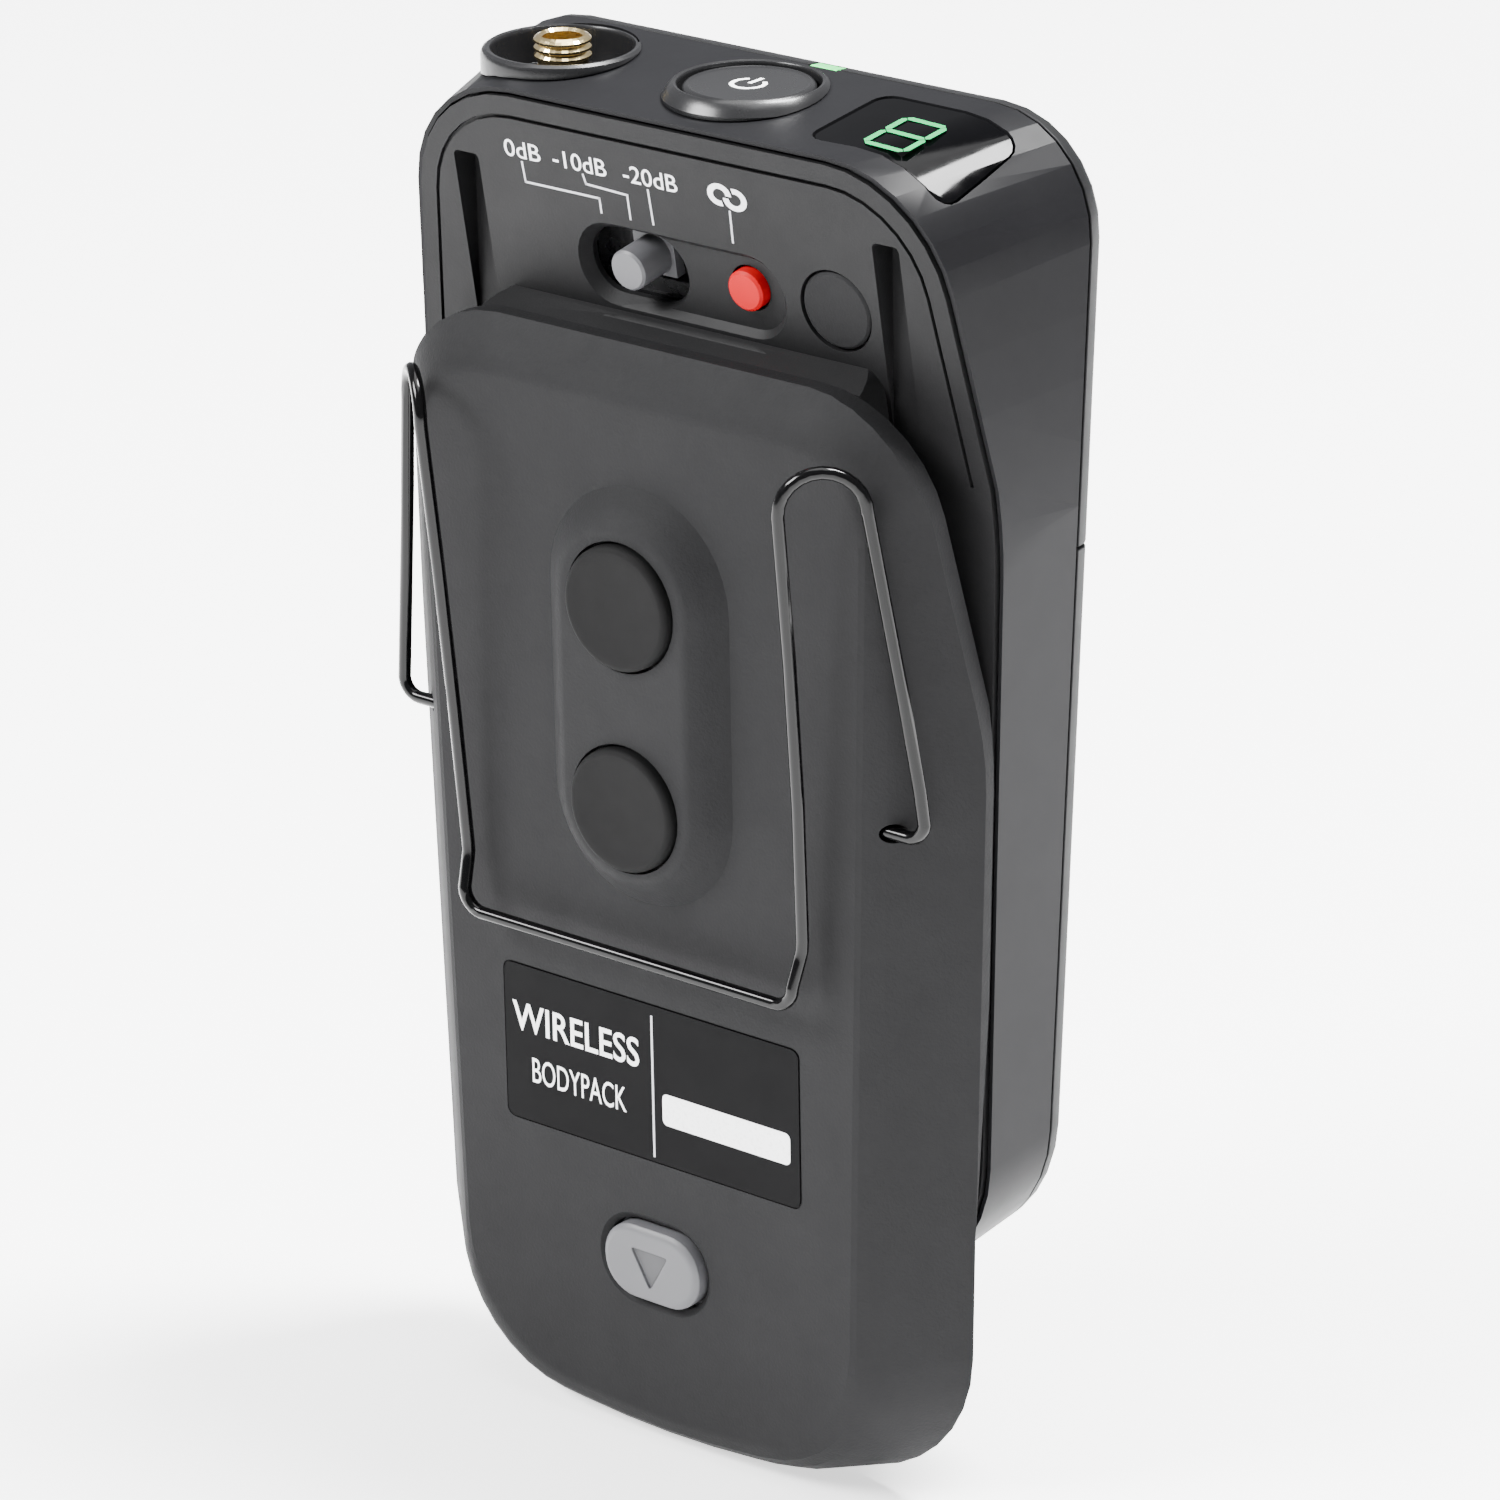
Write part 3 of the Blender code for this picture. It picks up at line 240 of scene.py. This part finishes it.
def make_finishes():
    return {
        "cover_plastic": moulded("cover_finish", (0.0088, 0.0088, 0.0093), 0.66, 0.26, 0.7, 0.05, 0.1),
        "chassis_plastic": moulded("chassis_finish", (0.007, 0.007, 0.0074), 0.55, 0.22, 0.45, 0.03, 0.12),
        "satin_plastic": moulded("satin_finish", (0.0075, 0.0075, 0.0082), 0.36, 0.16, 0.12, 0.01, 0.05),
        "front_plastic": moulded("front_finish", (0.007, 0.007, 0.0075), 0.48, 0.2, 0.3, 0.02, 0.12),
        "black_plastic": moulded("bezel_finish", (0.008, 0.008, 0.0085), 0.26, 0.15, 0.06, 0.006, 0.3),
        "grey_plastic": moulded("key_finish", (0.078, 0.078, 0.083), 0.45, 0.16, 0.15, 0.01, 0.3),
        "red_plastic": moulded("pair_finish", (0.36, 0.001, 0.004), 0.5, 0.15, 0.1, 0.008, 0.1),
        "rubber": rubbery("rubber_finish", (0.003, 0.003, 0.0031)),
        "label": moulded("label_finish", (0.003, 0.003, 0.0032), 0.7, 0.1, 0.08, 0.005, 0.06),
        # Painted shade: the darker floor of the release key's sunken arrow stands for the shade in its
        # recess
        "mark_shadow": moulded("arrow_painted_shade_finish", (0.05, 0.05, 0.053), 0.6, 0.16, 0.15, 0.01, 0.3),
        "black_gloss": glossy("window_finish", (0.0008, 0.0008, 0.001)),
        "light_plastic": glowing("light_finish", (0.05, 0.6, 0.14), 0.7),
        "wire_black": lacquered_wire("wire_finish"),
        "gold": metallic("gold_finish", (0.9, 0.72, 0.38), 0.16, (1, 1, 6)),
        "steel": metallic("steel_finish", (0.62, 0.62, 0.64), 0.28),
        "brass": metallic("brass_finish", (0.72, 0.5, 0.2), 0.3),
        "board": laminate("board_finish"),
        "cell": moulded("cell_finish", (0.03, 0.032, 0.04), 0.3, 0.4, 0.1, 0.01, 0.5),
        "ink": printed("ink_finish", (0.72, 0.72, 0.74)),
        "white_ink": printed("white_ink_finish", (0.9, 0.9, 0.9)),
        "leader_ink": printed("leader_ink_finish", (0.42, 0.42, 0.44)),
        "digit": glowing("digit_finish", (0.004, 0.26, 0.07), 0.6),
    }


# ---------------------------------------------------------------- geometry helpers

def new_piece(name, points, faces, finish, body, matrix=Matrix(), sharp=30.0):
    """A smooth-shaded mesh piece from points in millimetres, riding on a body."""
    mesh = bpy.data.meshes.new(name)
    mesh.from_pydata([Vector(p) * MM for p in points], [], faces)
    mesh.transform(matrix)
    mesh.materials.append(finish)
    mesh.shade_smooth()
    mesh.set_sharp_from_angle(angle=math.radians(sharp))
    return place_piece(bpy.data.objects.new(name, mesh), body)


def place_piece(piece, body):
    bpy.context.scene.collection.objects.link(piece)
    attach(piece, body)
    return piece


def panel_matrix():
    """From the control panel's own frame, in metres, to the part's frame."""
    return Matrix.Translation(Vector(PANEL_MIDDLE) * MM) @ Matrix.Rotation(PANEL_TILT, 4, "X")


def top_matrix(centre):
    """From a drawing (right, -, up) to a face that looks up."""
    return Matrix.Translation(Vector(centre) * MM) @ Matrix.Rotation(-math.pi / 2, 4, "X")


def slab(outline, low, high):
    """Points and faces of a flat print from an outline in (x, z), between two depths along Y."""
    count = len(outline)
    points = [(u, low, v) for u, v in outline] + [(u, high, v) for u, v in outline]
    faces = [tuple(range(count)), tuple(reversed(range(count, 2 * count)))]
    for i in range(count):
        j = (i + 1) % count
        faces.append((i, i + count, j + count, j))
    return points, faces


def rounded_box(u_low, v_low, u_high, v_high, radius, steps=5):
    outline = []
    corners = ((u_high - radius, v_high - radius, 0), (u_low + radius, v_high - radius, 90),
               (u_low + radius, v_low + radius, 180), (u_high - radius, v_low + radius, 270))
    for u, v, start in corners:
        for s in range(steps + 1):
            angle = math.radians(start + 90.0 * s / steps)
            outline.append((u + radius * math.cos(angle), v + radius * math.sin(angle)))
    return outline


def stroke(path, width):
    """Outlines, one for each straight stretch of a line, as four-cornered bars that meet."""
    bars = []
    for (u0, v0), (u1, v1) in zip(path, path[1:]):
        along = Vector((u1 - u0, v1 - v0)).normalized() * width / 2
        side = Vector((-along.y, along.x))
        start = Vector((u0, v0)) - along
        end = Vector((u1, v1)) + along
        bars.append([tuple(start - side), tuple(end - side), tuple(end + side), tuple(start + side)])
    return bars


def ring_stroke(centre, radius, width, start, sweep, steps=36, squash=1.0):
    """An outline of an arc of even width, in degrees from +u."""
    outer = []
    inner = []
    for s in range(steps + 1):
        angle = math.radians(start + sweep * s / steps)
        direction = Vector((math.cos(angle) * squash, math.sin(angle)))
        outer.append(tuple(Vector(centre) + direction * (radius + width / 2)))
        inner.append(tuple(Vector(centre) + direction * (radius - width / 2)))
    return outer + inner[::-1]


def prints(name, outlines, finish, slot, body, matrix, low=-PRINT_DEPTH, high=0.0):
    """Several flat outlines as one printed piece."""
    points = []
    faces = []
    for outline in outlines:
        more, sides = slab(outline, low, high)
        faces += [tuple(i + len(points) for i in face) for face in sides]
        points += more
    return new_piece(name, points, faces, finish, body, matrix)


def lettering(name, text, u_span, v_span, finish, slot, body, matrix, weight=0.0):
    """Text fitted into a rectangle of (x, z), standing a hair proud of its surface."""
    curve = bpy.data.curves.new(name + "_curve", "FONT")
    curve.body = text
    curve.size = 1.0
    curve.offset = weight
    curve.extrude = 0.006
    curve.resolution_u = 4
    source = bpy.data.objects.new(name + "_source", curve)
    bpy.context.scene.collection.objects.link(source)
    mesh = bpy.data.meshes.new_from_object(source.evaluated_get(bpy.context.evaluated_depsgraph_get()))
    bpy.data.objects.remove(source)
    xs = [v.co.x for v in mesh.vertices]
    ys = [v.co.y for v in mesh.vertices]
    wide = (u_span[1] - u_span[0]) / (max(xs) - min(xs))
    tall = (v_span[1] - v_span[0]) / (max(ys) - min(ys))
    for v in mesh.vertices:
        u = u_span[0] + (v.co.x - min(xs)) * wide
        w = v_span[0] + (v.co.y - min(ys)) * tall
        v.co = Vector((u, -0.012 - v.co.z * 1.5, w)) * MM
    mesh.transform(matrix)
    mesh.materials.clear()
    mesh.materials.append(finish)
    mesh.name = name
    return place_piece(bpy.data.objects.new(name, mesh), body)


def turned(name, profile, centre, finish, body, sides=96):
    """A solid of revolution about the Y axis, its profile a closed loop of (radius, y)."""
    points = []
    rows = []
    for r, h in profile:
        if r == 0:
            rows.append([len(points)] * sides)
            points.append((0.0, 0.0, h))
            continue
        rows.append([len(points) + s for s in range(sides)])
        angles = [2 * math.pi * s / sides for s in range(sides)]
        points += [(r * math.cos(angle), r * math.sin(angle), h) for angle in angles]
    faces = []
    for k, row in enumerate(rows):
        above = rows[(k + 1) % len(rows)]
        for s in range(sides):
            t = (s + 1) % sides
            face = list(dict.fromkeys((row[s], row[t], above[t], above[s])))
            if len(face) > 2:
                faces.append(tuple(face))
    place = Matrix.Translation(Vector(centre) * MM) @ Matrix.Rotation(-math.pi / 2, 4, "X")
    return new_piece(name, points, faces, finish, body, place)


def refined(frame, node, finish, body, edge_mm):
    """A copy of a CAD node's surface with its flat faces joined, its edges eased and smooth shading."""
    source = frame["nodes"][node].data
    shape = bmesh.new()
    shape.from_mesh(source)
    bmesh.ops.remove_doubles(shape, verts=shape.verts, dist=0.002 * MM)
    bmesh.ops.dissolve_limit(shape, angle_limit=math.radians(0.6), verts=shape.verts, edges=shape.edges)
    index = {v: k for k, v in enumerate(shape.verts)}
    points = [v.co / MM for v in shape.verts]
    faces = [tuple(index[v] for v in face.verts) for face in shape.faces]
    shape.free()
    piece = new_piece(node + "_skin", points, faces, finish, body, sharp=SMOOTH_UP_TO)
    if edge_mm:
        bevel = piece.modifiers.new("eased_edges", "BEVEL")
        bevel.width = edge_mm * MM
        bevel.segments = 3
        bevel.limit_method = "ANGLE"
        bevel.angle_limit = math.radians(BEVEL_FROM)
        bevel.harden_normals = True
    even = piece.modifiers.new("flat_faces_stay_flat", "WEIGHTED_NORMAL")
    even.mode = "FACE_AREA"
    even.weight = 50
    even.keep_sharp = True
    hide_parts(node)
    return piece


def crease(piece):
    """Keeps the cover's outer creases sharp, and leaves the edges near its middle soft."""
    shape = bmesh.new()
    shape.from_mesh(piece.data)
    for edge in shape.edges:
        soft = all(abs(v.co.x) < SOFT_HALF_WIDTH * MM and SOFT_Z[0] * MM < v.co.z < SOFT_Z[1] * MM
                   for v in edge.verts)
        if not soft and edge.calc_face_angle(0.0) > math.radians(CREASE_FROM):
            edge.smooth = False
    shape.to_mesh(piece.data)
    shape.free()


# ---------------------------------------------------------------- pieces

def make_shells(frame, finishes):
    """The CAD shells with eased edges and smooth shading."""
    for node, slot, body, edge in (
            ("battery_cover", "cover_plastic", COVER, 0.1),
            ("side_sleeve", "satin_plastic", BODY, 0.08),
            ("rear_chassis", "chassis_plastic", BODY, 0.06),
            ("front_panel", "front_plastic", BODY, 0.1),
            ("antenna_cover", "front_plastic", BODY, 0.1),
            ("release_button", "grey_plastic", "release_key", 0.08),
            ("power_button_bezel", "black_plastic", BODY, 0.05),
            ("power_button", "black_plastic", "power_key", 0.05),
            ("jack_boss", "black_plastic", BODY, 0.05),
            ("display_window", "black_gloss", BODY, 0.05),
            ("attenuator_knob", "grey_plastic", "attenuator_slider", 0.05),
            ("pair_button", "red_plastic", "pair_key", 0.05),
            ("panel_plug", "cover_plastic", BODY, 0.05),
            ("belt_clip", "wire_black", "clip", 0.0)):
        piece = refined(frame, node, finishes[slot], body, edge)
        if node == "battery_cover":
            crease(piece)


def paint_the_rest(frame, finishes):
    """Every CAD node that is still shown gets its own finish."""
    slots = {row["node"]: row["material_slot"] for row in frame["record"]["subparts"]}
    for node, obj in frame["nodes"].items():
        if obj.hide_render:
            continue
        obj.data.materials.clear()
        obj.data.materials.append(finishes[slots[node]])


def make_grip_discs(finishes):
    """Soft discs on the raised pad, with a rolled rim and a faintly dished face."""
    for name in ("grip_disc_upper", "grip_disc_lower"):
        low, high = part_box(name)
        face, back = low.y / MM, high.y / MM
        radius = (high.x - low.x) / 2 / MM
        centre = (0, 0, (low.z + high.z) / 2 / MM)
        rim = []
        for degrees in range(0, 91, 15):
            angle = math.radians(degrees)
            rim.append((radius - DISC_RIM_RADIUS * (1 - math.sin(angle)),
                        face + DISC_RIM_RADIUS * (1 - math.cos(angle))))
        dish = [(0, face + DISC_DISH), (radius - 2 * DISC_RIM_RADIUS, face + 0.6 * DISC_DISH)]
        profile = [*dish, *rim, (radius, back), (0, back)]
        disc = turned(name + "_skin", profile, centre, finishes["rubber"], COVER)
        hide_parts(name)


def make_panel_print(finishes):
    """The level marks with their leaders, and the pairing symbol with its own."""
    at = panel_matrix()
    on_panel = ("chassis_plastic", BODY, at)
    for name, text, span in (("mark_0dB", "0dB", (-18.1, -14.1)),
                             ("mark_10dB", "-10dB", (-12.7, -6.8)),
                             ("mark_20dB", "-20dB", (-4.95, 0.93))):
        lettering(name, text, span, (7.75, 9.35), finishes["ink"], *on_panel, 0.004)
    leaders = (((-16.3, 7.4), (-16.2, 5.6), (-8.0, 5.6), (-8.0, 4.3)),
               ((-9.5, 7.5), (-9.3, 6.7), (-4.8, 6.5), (-4.8, 4.3)),
               ((-2.4, 7.4), (-2.3, 4.3)),
               ((6.4, 7.1), (6.3, 4.3)))
    bars = [bar for path in leaders for bar in stroke(path, 0.2)]
    prints("leader_lines", bars, finishes["leader_ink"], *on_panel, -0.015, 0.01)
    prints("pairing_symbol", pairing_outlines((6.3, 8.4)), finishes["ink"], *on_panel)


def pairing_outlines(centre):
    """Two links that catch each other, each open where the other passes."""
    u, v = centre
    outlines = []
    for side, start in ((-1, 0), (1, 180)):
        middle = (u + side * 0.82, v - side * 0.1)
        outlines.append(ring_stroke(middle, 0.78, 0.48, start, 284, 30, 1.25))
    return outlines


def make_power_symbol(finishes):
    """The broken ring and its bar, on the dished face of the power key."""
    low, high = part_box("power_button")
    middle = (low + high) / 2 / MM
    at = top_matrix((middle.x - 0.1, middle.y, high.z / MM - KEY_DISH_DEPTH))
    width = 0.42
    outlines = [ring_stroke((0, 0), 1.42, width, 125, 290), *stroke(((0.0, 0.35), (0.0, 1.75)), width)]
    prints("power_symbol", outlines, finishes["white_ink"], "black_plastic", "power_key", at)


def make_label_print(finishes):
    """The label's divider, its blank field and two plain words."""
    low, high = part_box("rating_label")
    at = Matrix.Translation((0.0, low.y, (low.z + high.z) / 2))
    on_label = ("label", COVER, at)
    divider = stroke(((0.3, -6.9), (0.3, 6.4)), 0.22)
    prints("label_divider", divider, finishes["leader_ink"], *on_label)
    field = rounded_box(1.35, -3.6, 15.6, -0.6, 0.55)
    prints("name_field", [field], finishes["white_ink"], *on_label)
    for name, text, u_span, v_span, weight in (
            ("label_word_upper", "WIRELESS", (-15.7, -1.2), (1.1, 3.9), 0.012),
            ("label_word_lower", "BODYPACK", (-13.6, -2.8), (-3.6, -1.2), 0.0)):
        lettering(name, text, u_span, v_span, finishes["white_ink"], *on_label, weight)


def make_release_mark(finishes):
    """The floor of the sunken arrow on the release button, in a darker tone: painted shade that stands for
    the shade in its recess.
    """
    low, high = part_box("release_button")
    at = Matrix.Translation((0.0, low.y + MARK_DEPTH * MM, (low.z + high.z) / 2))
    arrow = [(-1.9, 1.32), (0.0, -1.95), (1.9, 1.32)]
    prints("release_arrow_painted_shade", [arrow], finishes["mark_shadow"], "grey_plastic", "release_key", at)


def make_digit(finishes):
    """A lit seven-segment figure just over the dark window, with all its bars on."""
    half, tall, gap = DIGIT_HALF_WIDTH, DIGIT_HALF_HEIGHT, DIGIT_GAP
    bars = []
    for v in (-tall, 0.0, tall):
        bars.append(segment((-half + gap, v), (half - gap, v)))
    for u in (-half, half):
        for v in (-tall, 0.0):
            bars.append(segment((u, v + gap), (u, v + tall - gap)))
    prints("display_digit", bars, finishes["digit"], "light_plastic", BODY, digit_matrix())


def digit_matrix():
    """From the figure's drawing to its place, leaning with the window's surface."""
    across = Vector((1.0, 0.0, DIGIT_LEAN_ACROSS)).normalized()
    up = Vector((0.0, 1.0, DIGIT_LEAN_UP)).normalized()
    out = across.cross(up)
    turn = Matrix((across, -out, up)).transposed().to_4x4()
    return Matrix.Translation(Vector(DIGIT_MIDDLE) * MM) @ turn


def segment(start, end):
    """A bar with pointed ends, as in a seven-segment figure."""
    a, b = Vector(start), Vector(end)
    along = (b - a).normalized() * SEGMENT_WIDTH / 2
    side = Vector((-along.y, along.x))
    return [tuple(a), tuple(a + along - side), tuple(b - along - side), tuple(b),
            tuple(b - along + side), tuple(a + along + side)]


# ---------------------------------------------------------------- stage

def make_floor():
    """A pale floor that glows faintly, as a lit studio sweep does."""
    bpy.ops.mesh.primitive_plane_add(size=8.0, location=(0, 0, 0))
    floor = bpy.context.object
    floor.name = "studio_floor"
    shade = Shade("floor_finish", 0.6)
    shade.tones(shade.noise(400.0, 2.0), ((0.88, 0.88, 0.88), (0.9, 0.9, 0.9), (0.92, 0.92, 0.92)))
    shade.shader.inputs["Emission Color"].default_value = (1.0, 1.0, 1.0, 1.0)
    shade.shader.inputs["Emission Strength"].default_value = 1.3
    floor.data.materials.append(shade.material)


def area_light(name, place, size, power):
    """A rectangular softbox, its size in metres and its power in watts, turned to the part."""
    lamp = bpy.data.lights.new(name, "AREA")
    lamp.shape = "RECTANGLE"
    lamp.size, lamp.size_y = size
    lamp.energy = power
    holder = bpy.data.objects.new(name, lamp)
    holder.location = place
    holder.rotation_euler = (AIM - Vector(place)).to_track_quat("-Z", "Y").to_euler()
    bpy.context.scene.collection.objects.link(holder)


def make_light():
    """Dim air and three softboxes: the key, one for the shoulder's highlight, and one from above."""
    world = bpy.data.worlds.new("studio_air")
    world.use_nodes = True
    air = world.node_tree.nodes["Background"]
    air.inputs["Color"].default_value = (0.95, 0.96, 1.0, 1.0)
    air.inputs["Strength"].default_value = 0.5
    bpy.context.scene.world = world
    area_light("key_softbox", (-0.75, -0.95, 1.1), (0.8, 0.5), 76.0)
    area_light("shoulder_softbox", (0.24, 0.33, 1.02), (0.24, 0.4), 60.0)
    area_light("floor_softbox", (0.0, 0.2, 1.9), (1.6, 1.6), 50.0)


def make_camera():
    lens = bpy.data.cameras.new("photo_view")
    lens.lens = CAMERA_LENS
    lens.sensor_width = 36.0
    lens.clip_start = 0.02
    lens.clip_end = 30.0
    camera = bpy.data.objects.new("photo_view", lens)
    camera.location = CAMERA_PLACE
    camera.rotation_euler = [math.radians(turn) for turn in CAMERA_TURN]
    bpy.context.scene.collection.objects.link(camera)
    bpy.context.scene.camera = camera


def main():
    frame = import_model()
    finishes = make_finishes()
    make_shells(frame, finishes)
    make_grip_discs(finishes)
    paint_the_rest(frame, finishes)
    make_panel_print(finishes)
    make_power_symbol(finishes)
    make_label_print(finishes)
    make_release_mark(finishes)
    make_digit(finishes)
    make_floor()
    make_light()
    make_camera()


main()
